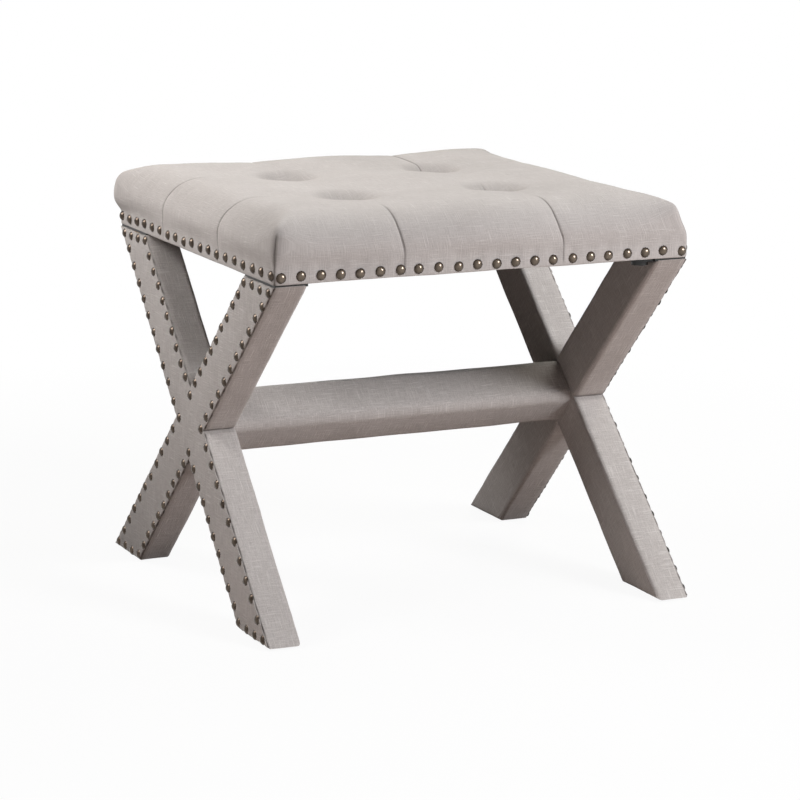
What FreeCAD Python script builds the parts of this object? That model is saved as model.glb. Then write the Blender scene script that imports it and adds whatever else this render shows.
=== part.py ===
import FreeCAD
import Part
import math
import os

# Upholstered bench: a tufted, nail-trimmed seat carried on two fabric-covered X frames that a
# diamond-section stretcher ties together. Millimetres. X runs along the stretcher, Y from the front
# to the back, Z up. The origin is on the floor under the middle of the seat.

Vector = FreeCAD.Vector

# Overall sizes
seat_length = 484.0          # along X, across the nail band of the cover
seat_depth = 460.0           # along Y, across the nail band of the cover
leg_top_height = 380.0       # floor to the sawn top of the legs

# X frames
frame_lean = 1.5             # degrees that each X frame leans out towards the floor
leg_cut_width = 84.0         # width of a leg where it is sawn level, along Y
leg_thickness = 39.0         # fabric to fabric, along X
crossing_lift = 3.0          # the legs cross this far above the middle of their height
wrap_thickness = 2.5         # fabric and thin wadding round the sides of the legs
panel_thickness = 2.0        # fabric panel on the outer face of an X frame
leg_edge_radius = 4.0        # padded edges round the inner face of an X frame
trim_allowance = 12.0        # extra leg length that the level saw cuts take off

# Stretcher
stretcher_wrap = 2.5         # fabric and wadding round the stretcher
stretcher_margin = 1.4       # its sides set in from the sides of the crossing
stretcher_edge_radius = 12.5  # its four padded long edges
stretcher_dowel_radius = 4.0
stretcher_dowel_bite = 18.0  # depth of a dowel in each of the two pieces
stretcher_dowel_spread = 15.0  # dowel axis above and below the stretcher's middle
stretcher_screw_radius = 2.5
stretcher_screw_head_radius = 5.0
stretcher_screw_head = 4.0
stretcher_screw_recess = 3.0
stretcher_screw_length = 75.0

# Feet
glide_radius = 12.0
glide_height = 3.0
glide_pin_radius = 1.3
glide_pin_length = 14.0
glide_from_heel = 40.0       # from the outer corner of the foot to the glide's middle

# Leg top plates and what bolts the seat on
plate_thickness = 3.0
plate_margin = 2.0           # bare leg top left round the plate
ear_radius = 13.0
ear_reach = 10.5             # from the leg's inner face to the bolt
ear_from_edge = 18.0         # from one edge of a leg's top to the bolt
seat_bolt_radius = 3.0
seat_bolt_head_radius = 9.0  # wide flat head
seat_bolt_head_height = 3.6
bolt_hole_clearance = 0.4
washer_radius = 9.8
washer_thickness = 1.2
t_nut_barrel_radius = 4.5
t_nut_barrel_length = 11.0
t_nut_flange_radius = 9.5
t_nut_flange_thickness = 1.5
plate_screw_radius = 2.0
plate_screw_length = 24.0
plate_screw_head_radius = 4.0
plate_screw_head_height = 2.0
plate_screw_spread = 24.0    # between a plate's two wood screws

# Seat carcass
cover_thickness = 1.5        # seat fabric with its wadding
dust_cover_thickness = 0.6
hem_width = 20.0             # cover folded in under the rails
dust_cover_overlap = 8.0     # how far the dust cover laps over the hem
rail_thickness = 20.0
rail_width = 60.0
rail_dowel_radius = 4.0
rail_dowel_bite = 20.0
rail_dowel_spread = 24.0
rail_dowel_shift = 10.0      # dowels keep clear of the seat bolts, towards the middle
deck_thickness = 6.0

# Seat cushion
nail_band = 15.0             # flat band at the foot of the cover that takes the nails
side_bulge = 4.0             # how far the padding swells past the band
side_height = 46.0           # underside to the top of the padded sides
side_draw_in = 2.0           # how far the sides have come in there
shoulder_width = 42.0        # from the sides to where the top begins
shoulder_rise = 20.0
shoulder_fullness = 4.1      # how far the shoulder swells over a straight line
edge_crown = 4.5             # swell of the outer pads over the line from shoulder to channel
middle_crown = 9.5           # swell of the middle pad over its channels
channel_height = 64.0        # underside to the bottom of the sewn channels
corner_radius = 18.0         # corners of the padding seen from above

# Tufts
tuft_spacing_x = 180.0
tuft_spacing_y = 164.0
tuft_floor_height = 42.0     # underside to the fabric at the bottom of a tuft
tuft_floor_radius = 10.0
tuft_mouth_radius = 62.0
tuft_mouth_rise = 28.0
tuft_wall_radius = 23.0      # a point on the wall's curve, out from the tuft's axis
tuft_wall_rise = 15.0
button_radius = 9.0
button_edge = 2.5
button_height = 5.0
twine_radius = 1.0
twine_clearance = 0.4
anchor_radius = 9.0
anchor_thickness = 2.0

# Nails
nail_head_radius = 5.3
nail_head_height = 3.6
nail_shank_radius = 0.9
nail_shank_length = 13.0
nail_tip_length = 3.0
seat_nail_height = 7.0       # underside of the seat to the nail line at the front and back
end_nail_lift = 2.2          # the rows at the two ends run higher, so the shanks pass at the corners
seat_nail_from_corner = 8.0
front_nail_pitch = 22.3
end_nail_pitch = 24.7
leg_nail_inset = 6.2         # from the edge of an X frame's face to the nail line
leg_outer_nail_pitch = 23.4
leg_inner_nail_pitch = 21.5
leg_end_nail_pitch = 21.0

# Places that follow from the sizes above
half_length = seat_length / 2
half_depth = seat_depth / 2
plate_top = leg_top_height + plate_thickness
underside = plate_top + dust_cover_thickness
rail_bottom = underside + cover_thickness
rail_top = rail_bottom + rail_thickness
deck_top = rail_top + deck_thickness
leg_rise = leg_top_height - glide_height
crossing_height = glide_height + leg_rise / 2 + crossing_lift
crossing_drop = leg_top_height - crossing_height
crossing_half_width = leg_cut_width / 2
leg_slope = (half_depth - crossing_half_width) / crossing_drop
foot_reach = crossing_half_width + leg_slope * (crossing_height - glide_height)
core_outer = panel_thickness
core_inner = leg_thickness - wrap_thickness
core_middle = (core_outer + core_inner) / 2
sides = {"left": -1, "right": 1}
ends = {"front": -1, "rear": 1}


# Small shape helpers

def box(low, high):
    size = high - low
    return Part.makeBox(size.x, size.y, size.z, low)


def rod(radius, start, end):
    return Part.makeCylinder(radius, (end - start).Length, start, end - start)


def prism_along_x(outline, x_from, x_to):
    points = [Vector(x_from, y, z) for y, z in outline]
    face = Part.Face(Part.makePolygon(points + points[:1]))
    return face.extrude(Vector(x_to - x_from, 0, 0))


def turned(edges, axis_point):
    face = Part.Face(Part.Wire(edges))
    return face.revolve(axis_point, Vector(0, 0, 1), 360)


def line(a, b):
    return Part.LineSegment(a, b).toShape()


def arc(a, middle, b):
    return Part.Arc(a, middle, b).toShape()


def dome(crown, rim):
    # Half the outline of a round cap, from its crown on the axis down to its rim
    rise = crown.z - rim.z
    radius = ((rim.x - crown.x) ** 2 + rise ** 2) / (2 * rise)
    turn = math.acos((radius - rise) / radius) / 2
    half_way = crown + Vector(radius * math.sin(turn), 0, radius * (math.cos(turn) - 1))
    return arc(crown, half_way, rim)


def group(shapes):
    return Part.makeCompound(shapes)


def save(name, shape):
    shape.exportStep("parts/" + name + ".step")


# Where things lie on an X frame. A frame is drawn upright, with a depth that runs from its outer
# face inwards, and then leans.

def frame_x(side, depth):
    return side * (half_length - depth)


def lean(shape, side):
    pivot = Vector(side * half_length, 0, leg_top_height)
    return shape.copy().rotate(pivot, Vector(0, 1, 0), -side * frame_lean)


def level_slab(bottom):
    reach = Vector(seat_length, seat_depth, 0)
    return box(Vector(0, 0, bottom) - reach, Vector(0, 0, leg_top_height) + reach)


def leg_outline(end, inset):
    # The leg whose top is at this end of the depth, with its long sides moved in by inset
    sideways = inset * math.sqrt(1 + leg_slope ** 2)
    top = leg_top_height + trim_allowance
    bottom = glide_height - trim_allowance
    outer_top = half_depth + trim_allowance * leg_slope - sideways
    inner_top = outer_top - leg_cut_width + 2 * sideways
    run = leg_slope * (top - bottom)
    return [
        (end * outer_top, top),
        (end * inner_top, top),
        (end * (inner_top - run), bottom),
        (end * (outer_top - run), bottom),
    ]


def leg_prism(end, side, inset, depth_from, depth_to):
    outline = leg_outline(end, inset)
    return prism_along_x(outline, frame_x(side, depth_from), frame_x(side, depth_to))


def cross_prism(side, depth_from, depth_to):
    front = leg_prism(-1, side, 0.0, depth_from, depth_to)
    rear = leg_prism(1, side, 0.0, depth_from, depth_to)
    return front.fuse(rear).removeSplitter()


def edges_in_plane(shape, x):
    # The sloping edges of a cross that lie at one depth
    flat = [e for e in shape.Edges if all(abs(v.X - x) < 1e-6 for v in e.Vertexes)]
    return [e for e in flat if abs(e.tangentAt(e.FirstParameter).z) > 1e-6]


# Nails

def nail_shape():
    # One round-headed nail on the Z axis, its head standing on the plane through the origin
    crown = Vector(0, 0, nail_head_height)
    rim = Vector(nail_head_radius, 0, 0)
    neck = Vector(nail_shank_radius, 0, 0)
    taper = Vector(nail_shank_radius, 0, nail_tip_length - nail_shank_length)
    tip = Vector(0, 0, -nail_shank_length)
    edges = [
        dome(crown, rim),
        line(rim, neck),
        line(neck, taper),
        line(taper, tip),
        line(tip, crown),
    ]
    return turned(edges, Vector(0, 0, 0))


def shank_hole():
    return rod(nail_shank_radius, Vector(0, 0, 0), Vector(0, 0, -nail_shank_length))


def placed(shape, point, outward):
    copy = shape.copy()
    copy.Placement = FreeCAD.Placement(point, FreeCAD.Rotation(Vector(0, 0, 1), outward))
    return copy


def spaced(start, end, pitch):
    # Points at an even pitch from start up to, but not on, end
    count = max(1, round(math.dist(start, end) / pitch))
    return [tuple(a + (b - a) * i / count for a, b in zip(start, end)) for i in range(count)]


def face_nail_points():
    # Nail points on one X face, round an outline moved in from the edge of the X
    sideways = leg_nail_inset * math.sqrt(1 + leg_slope ** 2)
    low = glide_height + leg_nail_inset
    high = leg_top_height - leg_nail_inset
    waist = crossing_half_width - sideways
    dip = waist / leg_slope
    quarter = []
    for y_sign, z_sign in ((1, 1), (1, -1), (-1, -1), (-1, 1)):
        reach, end_z = (half_depth, high) if z_sign > 0 else (foot_reach, low)
        outer = reach - sideways - leg_nail_inset * leg_slope
        inner = reach - leg_cut_width + sideways - leg_nail_inset * leg_slope
        corner = (y_sign * outer, end_z)
        crotch_corner = (y_sign * inner, end_z)
        waist_point = (y_sign * waist, crossing_height)
        crotch_point = (0.0, crossing_height + z_sign * dip)
        quarter += spaced(corner, waist_point, leg_outer_nail_pitch)
        quarter += spaced(crotch_corner, crotch_point, leg_inner_nail_pitch)
        quarter += spaced(corner, crotch_corner, leg_end_nail_pitch)[1:]
    waists = [(-waist, crossing_height), (waist, crossing_height)]
    crotches = [(0.0, crossing_height - dip), (0.0, crossing_height + dip)]
    return quarter + waists + crotches


def on_face(shape, side):
    # The shape at every nail point of an X frame's outer face
    outward = Vector(side, 0, 0)
    points = [Vector(frame_x(side, 0.0), y, z) for y, z in face_nail_points()]
    return [lean(placed(shape, point, outward), side) for point in points]


def row_points(half_run, pitch):
    end = half_run - seat_nail_from_corner
    return [p[0] for p in spaced((-end,), (end,), pitch)] + [end]


def on_seat_edge(shape, end_name):
    # The shape at every nail point of one edge of the seat
    z = underside + seat_nail_height
    if end_name in ends:
        y = ends[end_name] * half_depth
        points = [Vector(x, y, z) for x in row_points(half_length, front_nail_pitch)]
        outward = Vector(0, ends[end_name], 0)
    else:
        x = sides[end_name] * half_length
        points = [Vector(x, y, z + end_nail_lift) for y in row_points(half_depth, end_nail_pitch)]
        outward = Vector(sides[end_name], 0, 0)
    return [placed(shape, point, outward) for point in points]


# Places of the fasteners

def bolt_place(side, end):
    # One stamped plate serves every leg, turned half round for the opposite side of the seat
    x = frame_x(side, leg_thickness + ear_reach)
    from_edge = ear_from_edge if side * end < 0 else leg_cut_width - ear_from_edge
    return Vector(x, end * (half_depth - from_edge), 0)


def plate_screw_places(side, end):
    x = frame_x(side, core_middle)
    y_middle = half_depth - leg_cut_width / 2 - leg_slope * plate_screw_length / 2
    offsets = (-plate_screw_spread / 2, plate_screw_spread / 2)
    return [Vector(x, end * (y_middle + offset), 0) for offset in offsets]


def glide_place(side, end):
    tilt = math.tan(math.radians(frame_lean))
    x = frame_x(side, leg_thickness / 2 - leg_rise * tilt)
    return Vector(x, end * (foot_reach - glide_from_heel), 0)


def tuft_places():
    xs = (-tuft_spacing_x / 2, tuft_spacing_x / 2)
    ys = (-tuft_spacing_y / 2, tuft_spacing_y / 2)
    return [Vector(x, y, 0) for x in xs for y in ys]


def up(place, height):
    return Vector(place.x, place.y, height)


# Fasteners as solids of revolution, each standing on its own place

def seat_bolt(place):
    head_top = leg_top_height - washer_thickness
    head = rod(seat_bolt_head_radius, up(place, head_top - seat_bolt_head_height), up(place, head_top))
    shank = rod(seat_bolt_radius, up(place, head_top), up(place, rail_top - t_nut_flange_thickness))
    return head.fuse(shank).removeSplitter()


def seat_washer(place):
    low = up(place, leg_top_height - washer_thickness)
    high = up(place, leg_top_height)
    return rod(washer_radius, low, high).cut(rod(seat_bolt_radius, low, high))


def t_nut(place):
    barrel_low = up(place, rail_top - t_nut_flange_thickness - t_nut_barrel_length)
    flange_low = up(place, rail_top - t_nut_flange_thickness)
    high = up(place, rail_top)
    body = rod(t_nut_barrel_radius, barrel_low, flange_low)
    body = body.fuse(rod(t_nut_flange_radius, flange_low, high)).removeSplitter()
    return body.cut(rod(seat_bolt_radius, barrel_low, high))


def plate_screw(place):
    head_low = plate_top - plate_screw_head_height
    tip = plate_top - plate_screw_length
    cone = Part.makeCone(plate_screw_radius, plate_screw_head_radius, plate_screw_head_height,
                         up(place, head_low))
    return rod(plate_screw_radius, up(place, tip), up(place, head_low)).fuse(cone).removeSplitter()


def glide(place):
    disc = rod(glide_radius, up(place, 0.0), up(place, glide_height))
    edge = min(glide_height, glide_radius) / 3
    disc = disc.makeFillet(edge, [disc.Edges[i] for i in range(3) if disc.Edges[i].Closed
                                  and disc.Edges[i].CenterOfMass.z < glide_height / 2])
    pin = rod(glide_pin_radius, up(place, glide_height), up(place, glide_height + glide_pin_length))
    return disc.fuse(pin).removeSplitter()


def stretcher_dowels(side):
    x_face = frame_x(side, leg_thickness) + side * crossing_drop * math.tan(math.radians(frame_lean))
    x_in = x_face - side * stretcher_dowel_bite
    x_out = x_face + side * stretcher_dowel_bite
    heights = (crossing_height - stretcher_dowel_spread, crossing_height + stretcher_dowel_spread)
    return [rod(stretcher_dowel_radius, Vector(x_in, 0, z), Vector(x_out, 0, z)) for z in heights]


def stretcher_screw_place(side):
    x_face = frame_x(side, core_outer) + side * crossing_drop * math.tan(math.radians(frame_lean))
    return Vector(x_face - side * stretcher_screw_recess, 0, crossing_height)


def stretcher_screw(side):
    top = stretcher_screw_place(side)
    inwards = Vector(-side, 0, 0)
    neck = top + inwards * stretcher_screw_head
    head = rod(stretcher_screw_head_radius, top, neck)
    shank = rod(stretcher_screw_radius, neck, neck + inwards * stretcher_screw_length)
    return head.fuse(shank).removeSplitter()


def stretcher_screw_bore(side):
    # The screw's own space, with its head's recess carried out through the leg's face
    top = stretcher_screw_place(side)
    outwards = Vector(side, 0, 0)
    recess = rod(stretcher_screw_head_radius, top, top + outwards * leg_thickness)
    return stretcher_screw(side).fuse(recess).removeSplitter()


# X frames

def leg_cores(side):
    # The two halved bars of one X frame, level at their ends
    slab = level_slab(glide_height + wrap_thickness)
    bars = {}
    for name, end in ends.items():
        halving = (core_middle, core_inner) if end < 0 else (core_outer, core_middle)
        bar = leg_prism(end, side, wrap_thickness, core_outer, core_inner)
        other = leg_prism(-end, side, wrap_thickness, *halving)
        bars[name] = lean(bar.cut(other), side).common(slab)
    return bars


def build_frame(side_name):
    side = sides[side_name]
    slab = level_slab(glide_height)
    bars = leg_cores(side)
    screw_holes = [stretcher_screw_bore(side)] + stretcher_dowels(side)
    nail_holes = on_face(shank_hole(), side)
    plate_holes = [plate_screw(p) for end in ends.values() for p in plate_screw_places(side, end)]
    glide_holes = [glide(glide_place(side, end)) for end in ends.values()]

    cross = cross_prism(side, core_outer, leg_thickness)
    padded_edges = edges_in_plane(cross, frame_x(side, leg_thickness))
    cross = cross.makeFillet(leg_edge_radius, padded_edges)
    wrap = lean(cross, side).common(slab)
    wrap = wrap.cut(list(bars.values()) + stretcher_dowels(side) + [stretcher_screw(side)])
    wrap = wrap.cut(glide_holes + nail_holes)
    save(side_name + "_frame_wrap", wrap)

    panel = lean(cross_prism(side, 0.0, panel_thickness), side).common(slab)
    save(side_name + "_face_panel", panel.cut(nail_holes))
    save(side_name + "_face_nails", group(on_face(nail_shape(), side)))

    for name, bar in bars.items():
        bar = bar.cut(screw_holes + plate_holes + glide_holes + nail_holes)
        save(side_name + "_leg_" + name + "_top", bar)
    for name, end in ends.items():
        save(side_name + "_" + name + "_glide", glide(glide_place(side, end)))


def top_plate(side, end):
    # Steel plate on a leg's sawn top, with a round ear reaching in to the seat bolt
    inner_x = leg_thickness
    corner = Vector(frame_x(side, plate_margin), end * (half_depth - plate_margin), leg_top_height)
    opposite = Vector(frame_x(side, inner_x), end * (half_depth - leg_cut_width + plate_margin), plate_top)
    low = Vector(min(corner.x, opposite.x), min(corner.y, opposite.y), leg_top_height)
    high = Vector(max(corner.x, opposite.x), max(corner.y, opposite.y), plate_top)
    bolt = bolt_place(side, end)
    neck_low = Vector(min(bolt.x, opposite.x), bolt.y - ear_radius, leg_top_height)
    neck_high = Vector(max(bolt.x, opposite.x), bolt.y + ear_radius, plate_top)
    ear = rod(ear_radius, up(bolt, leg_top_height), up(bolt, plate_top))
    plate = box(low, high).fuse([box(neck_low, neck_high), ear]).removeSplitter()
    hole = rod(seat_bolt_radius + bolt_hole_clearance, up(bolt, leg_top_height), up(bolt, plate_top))
    return plate.cut([hole] + [plate_screw(p) for p in plate_screw_places(side, end)])


def build_plates():
    corners = [(s, e) for s in sides for e in ends]
    for side_name, end_name in corners:
        plate = top_plate(sides[side_name], ends[end_name])
        save(side_name + "_" + end_name + "_top_plate", plate)
    places = [(sides[s], ends[e]) for s, e in corners]
    save("plate_screws", group([plate_screw(p) for s, e in places for p in plate_screw_places(s, e)]))
    save("seat_bolts", group([seat_bolt(bolt_place(s, e)) for s, e in places]))
    save("seat_bolt_washers", group([seat_washer(bolt_place(s, e)) for s, e in places]))
    save("t_nuts", group([t_nut(bolt_place(s, e)) for s, e in places]))


# Stretcher

def diamond(inset):
    # Section of the stretcher: the diamond where the legs cross, with its sides set in a little
    half_width = crossing_half_width - (stretcher_margin + inset) * math.sqrt(1 + leg_slope ** 2)
    half_height = half_width / leg_slope
    return [
        (-half_width, crossing_height),
        (0.0, crossing_height + half_height),
        (half_width, crossing_height),
        (0.0, crossing_height - half_height),
    ]


def frame_space(side):
    # Everything from an X frame's inner face outwards
    low_x, high_x = sorted((frame_x(side, leg_thickness), frame_x(side, -seat_length)))
    space = box(Vector(low_x, -seat_depth, -seat_depth), Vector(high_x, seat_depth, 2 * seat_depth))
    return lean(space, side)


def stretcher_bar(inset):
    # The diamond bar with its long edges rounded, still running on past the X frames
    bar = prism_along_x(diamond(inset), -seat_length, seat_length)
    long_edges = [e for e in bar.Edges if abs(e.tangentAt(e.FirstParameter).x) > 0.5]
    return bar.makeFillet(stretcher_edge_radius - inset, long_edges)


def build_stretcher():
    spaces = [frame_space(side) for side in sides.values()]
    core_solid = stretcher_bar(stretcher_wrap).cut(spaces)
    skin = stretcher_bar(0.0).cut(spaces + [core_solid])
    fixings = [s for side in sides.values() for s in stretcher_dowels(side)]
    screws = [stretcher_screw(side) for side in sides.values()]
    save("stretcher_core", core_solid.cut(fixings + screws))
    save("stretcher_cover", skin)
    save("stretcher_dowels", group(fixings))
    save("stretcher_screws", group(screws))


# Seat

def pad_profile(half_run, tuft_half_spacing, inset, bottom):
    # Closed outline of the cushion across one direction: band, swollen side, shoulder and three pads.
    # Points are (along, up); arcs are given by three points.
    band_top = underside + nail_band
    side_top = underside + side_height - inset
    shoulder_top = side_top + shoulder_rise
    channel = underside + channel_height - inset
    edge = half_run - inset
    side_in = edge - side_draw_in
    pad_start = side_in - shoulder_width
    swollen = (edge + side_bulge, (band_top + side_top) / 2)
    shoulder_mid = (side_in - shoulder_width / 2 + shoulder_fullness,
                    side_top + shoulder_rise / 2 + shoulder_fullness)
    edge_pad = ((pad_start + tuft_half_spacing) / 2, (shoulder_top + channel) / 2 + edge_crown)
    right = [
        ("line", (edge, bottom), (edge, band_top)),
        ("arc", (edge, band_top), swollen, (side_in, side_top)),
        ("arc", (side_in, side_top), shoulder_mid, (pad_start, shoulder_top)),
        ("arc", (pad_start, shoulder_top), edge_pad, (tuft_half_spacing, channel)),
    ]
    left = [(k[0],) + tuple((-p[0], p[1]) for p in reversed(k[1:])) for k in reversed(right)]
    top = [("arc", (tuft_half_spacing, channel), (0.0, channel + middle_crown), (-tuft_half_spacing, channel))]
    base = [("line", (-edge, bottom), (edge, bottom))]
    return right + top + left + base


def pad_extrusion(profile, along_x, half_run):
    # The outline swept straight across the seat, along the other direction
    def point(p):
        return Vector(p[0], -half_run, p[1]) if along_x else Vector(-half_run, p[0], p[1])
    edges = [(line if k[0] == "line" else arc)(*[point(p) for p in k[1:]]) for k in profile]
    sweep = Vector(0, 2 * half_run, 0) if along_x else Vector(2 * half_run, 0, 0)
    return Part.Face(Part.Wire(edges)).extrude(sweep)


def rounded_column(half_x, half_y, bottom, top):
    column = box(Vector(-half_x, -half_y, bottom), Vector(half_x, half_y, top))
    upright = [e for e in column.Edges if abs(e.tangentAt(e.FirstParameter).z) > 0.5]
    return column.makeFillet(corner_radius, upright)


def tuft_hollow(place, inset):
    # Trumpet-shaped hollow of one tuft: a flat floor for the button and a wall that rolls outwards
    floor = underside + tuft_floor_height - inset
    rise = tuft_mouth_rise
    start = Vector(place.x + tuft_floor_radius + inset, place.y, floor)
    wall = Vector(place.x + tuft_wall_radius + inset, place.y, floor + tuft_wall_rise)
    mouth = Vector(place.x + tuft_mouth_radius + inset, place.y, floor + rise)
    clear = floor + 2 * rise
    edges = [
        line(up(place, floor), start),
        arc(start, wall, mouth),
        line(mouth, up(mouth, clear)),
        line(up(mouth, clear), up(place, clear)),
        line(up(place, clear), up(place, floor)),
    ]
    return turned(edges, place)


def cushion(inset, bottom):
    # The tufted form of the seat: two swept outlines crossed, corners rounded, tufts sunk
    reach = seat_length + seat_depth
    across_x = pad_extrusion(pad_profile(half_length, tuft_spacing_x / 2, inset, bottom), True, reach)
    across_y = pad_extrusion(pad_profile(half_depth, tuft_spacing_y / 2, inset, bottom), False, reach)
    swell = side_bulge - inset
    column = rounded_column(half_length + swell, half_depth + swell, bottom, bottom + reach)
    form = across_x.common(across_y).common(column)
    return form.cut([tuft_hollow(place, inset) for place in tuft_places()])


def twine(place, low, high, clearance):
    return rod(twine_radius + clearance, up(place, low), up(place, high))


def build_seat():
    tuft_floor = underside + tuft_floor_height
    foam_space = cushion(cover_thickness, rail_bottom)
    tufts = tuft_places()
    edge_names = list(ends) + list(sides)
    nail_holes = [s for name in edge_names for s in on_seat_edge(shank_hole(), name)]
    bolts = [bolt_place(s, e) for s in sides.values() for e in ends.values()]

    opening = box(Vector(hem_width - half_length, hem_width - half_depth, underside),
                  Vector(half_length - hem_width, half_depth - hem_width, rail_bottom))
    cover = cushion(0.0, underside).cut([foam_space, opening])
    twine_holes = [twine(p, deck_top, tuft_floor, 0.0) for p in tufts]
    save("seat_cover", cover.cut(nail_holes + twine_holes))

    above_deck = box(Vector(-seat_length, -seat_depth, deck_top), Vector(seat_length, seat_depth, 2 * deck_top))
    foam = foam_space.common(above_deck)
    save("seat_foam", foam.cut([twine(p, deck_top, tuft_floor, twine_clearance) for p in tufts]))

    carcass = foam_space.cut(above_deck)
    deck_low = Vector(cover_thickness - half_length, cover_thickness - half_depth, rail_top)
    deck = box(deck_low, Vector(-deck_low.x, -deck_low.y, deck_top)).common(carcass)
    deck_holes = [twine(p, rail_top, deck_top, twine_clearance) for p in tufts]
    save("seat_deck", deck.cut(deck_holes))

    build_rails(foam_space, nail_holes, bolts)

    lap = hem_width - dust_cover_overlap
    dust_low = Vector(lap - half_length, lap - half_depth, plate_top)
    dust = box(dust_low, Vector(-dust_low.x, -dust_low.y, underside))
    bolt_radius = seat_bolt_radius + bolt_hole_clearance
    save("dust_cover", dust.cut([rod(bolt_radius, up(p, plate_top), up(p, underside)) for p in bolts]))

    save("tuft_buttons", group([tuft_button(p) for p in tufts]))
    anchor_bottom = rail_top - anchor_thickness
    save("tuft_twines", group([twine(p, anchor_bottom, tuft_floor, 0.0) for p in tufts]))
    anchors = [rod(anchor_radius, up(p, anchor_bottom), up(p, rail_top)) for p in tufts]
    twines = [twine(p, anchor_bottom, tuft_floor, 0.0) for p in tufts]
    save("tuft_anchors", group([a.cut(t) for a, t in zip(anchors, twines)]))

    for name in edge_names:
        save("seat_" + name + "_nails", group(on_seat_edge(nail_shape(), name)))


def tuft_button(place):
    # Domed fabric-covered button that holds the cover down
    floor = underside + tuft_floor_height
    rim = Vector(place.x + button_radius, place.y, floor + button_edge)
    crown = up(place, floor + button_height)
    edges = [
        dome(crown, rim),
        line(rim, up(rim, floor)),
        line(up(rim, floor), up(place, floor)),
        line(up(place, floor), crown),
    ]
    return turned(edges, place)


def rail_dowel_places():
    # Ends of the dowels between the long rails and the end rails
    joint_x = half_length - cover_thickness - rail_width
    joint_y = half_depth - cover_thickness - rail_width / 2 - rail_dowel_shift
    z = rail_bottom + rail_thickness / 2
    offsets = (-rail_dowel_spread / 2, rail_dowel_spread / 2)
    return [(Vector(s * (joint_x - rail_dowel_bite), e * joint_y + o, z),
             Vector(s * (joint_x + rail_dowel_bite), e * joint_y + o, z))
            for s in sides.values() for e in ends.values() for o in offsets]


def build_rails(space, nail_holes, bolts):
    outer_x = half_length - cover_thickness
    outer_y = half_depth - cover_thickness
    dowels = [rod(rail_dowel_radius, a, b) for a, b in rail_dowel_places()]
    t_nut_holes = [hole for p in bolts for hole in (
        rod(t_nut_flange_radius, up(p, rail_top - t_nut_flange_thickness), up(p, rail_top)),
        rod(t_nut_barrel_radius, up(p, rail_top - t_nut_flange_thickness - t_nut_barrel_length), up(p, rail_top)),
        rod(seat_bolt_radius + bolt_hole_clearance, up(p, rail_bottom), up(p, rail_top)))]
    holes = dowels + t_nut_holes + nail_holes
    for name, end in ends.items():
        low_y, high_y = sorted((end * outer_y, end * (outer_y - rail_width)))
        rail = box(Vector(rail_width - outer_x, low_y, rail_bottom), Vector(outer_x - rail_width, high_y, rail_top))
        save("seat_" + name + "_rail", rail.cut(holes))
    for name, side in sides.items():
        low_x, high_x = sorted((side * outer_x, side * (outer_x - rail_width)))
        rail = box(Vector(low_x, -outer_y, rail_bottom), Vector(high_x, outer_y, rail_top))
        save("seat_" + name + "_rail", rail.common(space).cut(holes))
    save("seat_rail_dowels", group(dowels))


os.makedirs("parts", exist_ok=True)
build_seat()
build_plates()
build_stretcher()
for frame_side in sides:
    build_frame(frame_side)
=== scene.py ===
import bpy
import bmesh
import math
import random
import numpy as np
from mathutils import Matrix, Vector, noise


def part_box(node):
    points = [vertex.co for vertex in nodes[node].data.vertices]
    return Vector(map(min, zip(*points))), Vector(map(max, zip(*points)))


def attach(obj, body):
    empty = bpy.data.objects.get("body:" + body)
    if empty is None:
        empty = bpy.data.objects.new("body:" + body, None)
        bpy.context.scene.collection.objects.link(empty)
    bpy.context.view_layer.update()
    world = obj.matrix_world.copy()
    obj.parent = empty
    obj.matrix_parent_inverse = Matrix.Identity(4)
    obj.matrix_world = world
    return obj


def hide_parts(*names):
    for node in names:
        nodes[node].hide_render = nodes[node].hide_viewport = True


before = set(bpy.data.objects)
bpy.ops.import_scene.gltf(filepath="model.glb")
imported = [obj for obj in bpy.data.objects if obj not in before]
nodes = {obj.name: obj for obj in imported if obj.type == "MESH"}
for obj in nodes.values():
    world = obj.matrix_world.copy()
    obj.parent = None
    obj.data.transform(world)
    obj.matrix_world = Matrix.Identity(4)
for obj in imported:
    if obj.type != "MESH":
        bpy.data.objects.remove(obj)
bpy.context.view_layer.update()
print("frame loaded,", len(nodes), "CAD nodes")

# what every piece is set out from, in metres
bench = {
    "halfLength": 0.242,  # band of the seat, along X
    "halfDepth": 0.230,
    "legTop": 0.380,
    "footBottom": 0.003,
    "legCut": 0.084,  # a leg where it is sawn level
    "legThick": 0.039,
    "crossLift": 0.003,  # the crossing, above the middle of the legs
    "panelThick": 0.002,
    "lean": math.radians(1.5),
    "underside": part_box("seat_cover")[0].z,
}
crossZ = (bench["legTop"] + bench["footBottom"]) / 2 + bench["crossLift"]
waistY = bench["legCut"] / 2  # front and rear corners of the crossing
legSlope = (bench["halfDepth"] - waistY) / (bench["legTop"] - crossZ)
waistZ = waistY / legSlope  # its top and bottom corners
footReach = waistY + legSlope * (crossZ - bench["footBottom"])
frameSides = {"left": -1, "right": 1}


def linear(hexColour, alpha=1.0):
    parts = [int(hexColour[i:i + 2], 16) / 255 for i in (1, 3, 5)]
    return tuple(p / 12.92 if p <= 0.04045 else ((p + 0.055) / 1.055) ** 2.4 for p in parts) + (alpha,)


def addNode(tree, kind, settings=None, links=None):
    node = tree.nodes.new("ShaderNode" + kind)
    for name, value in (settings or {}).items():
        if isinstance(name, str) and hasattr(node, name):
            setattr(node, name, value)
        else:
            node.inputs[name].default_value = value
    for name, source in (links or {}).items():
        tree.links.new(source, node.inputs[name])
    return node


def newMaterial(name):
    material = bpy.data.materials.new(name)
    material.use_nodes = True
    material.node_tree.nodes.clear()
    return material, material.node_tree


# Finishes

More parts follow.
